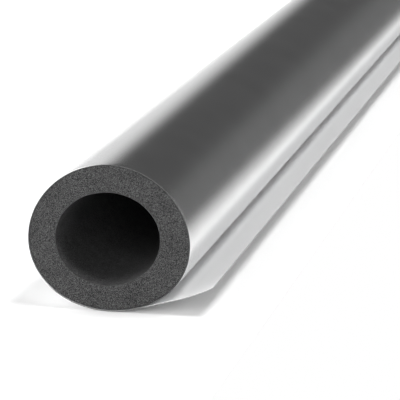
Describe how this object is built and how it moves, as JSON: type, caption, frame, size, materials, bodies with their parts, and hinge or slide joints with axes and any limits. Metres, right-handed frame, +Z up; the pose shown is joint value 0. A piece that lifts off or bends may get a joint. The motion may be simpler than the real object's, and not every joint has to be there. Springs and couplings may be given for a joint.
{
  "type": "pipe insulation lagging",
  "caption": "Straight length of dark foam pipe insulation with a smooth foil jacket, whose free lap flap curls out low along one side.",
  "frame": {"origin": "on the floor, under the middle of the part's bounding box", "axes": "+Y along the tube, +Z up, +X towards the side with the lap flap; the end shown in the picture is at -Y"},
  "size_m": [0.0902, 1, 0.0711],
  "materials": {
    "foam": "dark grey closed-cell elastomeric foam, finely pitted where it is cut, smooth and slightly shiny skin in the bore",
    "foil": "smooth satin aluminium foil laminate, unprinted"
  },
  "bodies": {
    "root": {"foam_tube": "foam", "foil_jacket": "foil"}
  },
  "joints": []
}
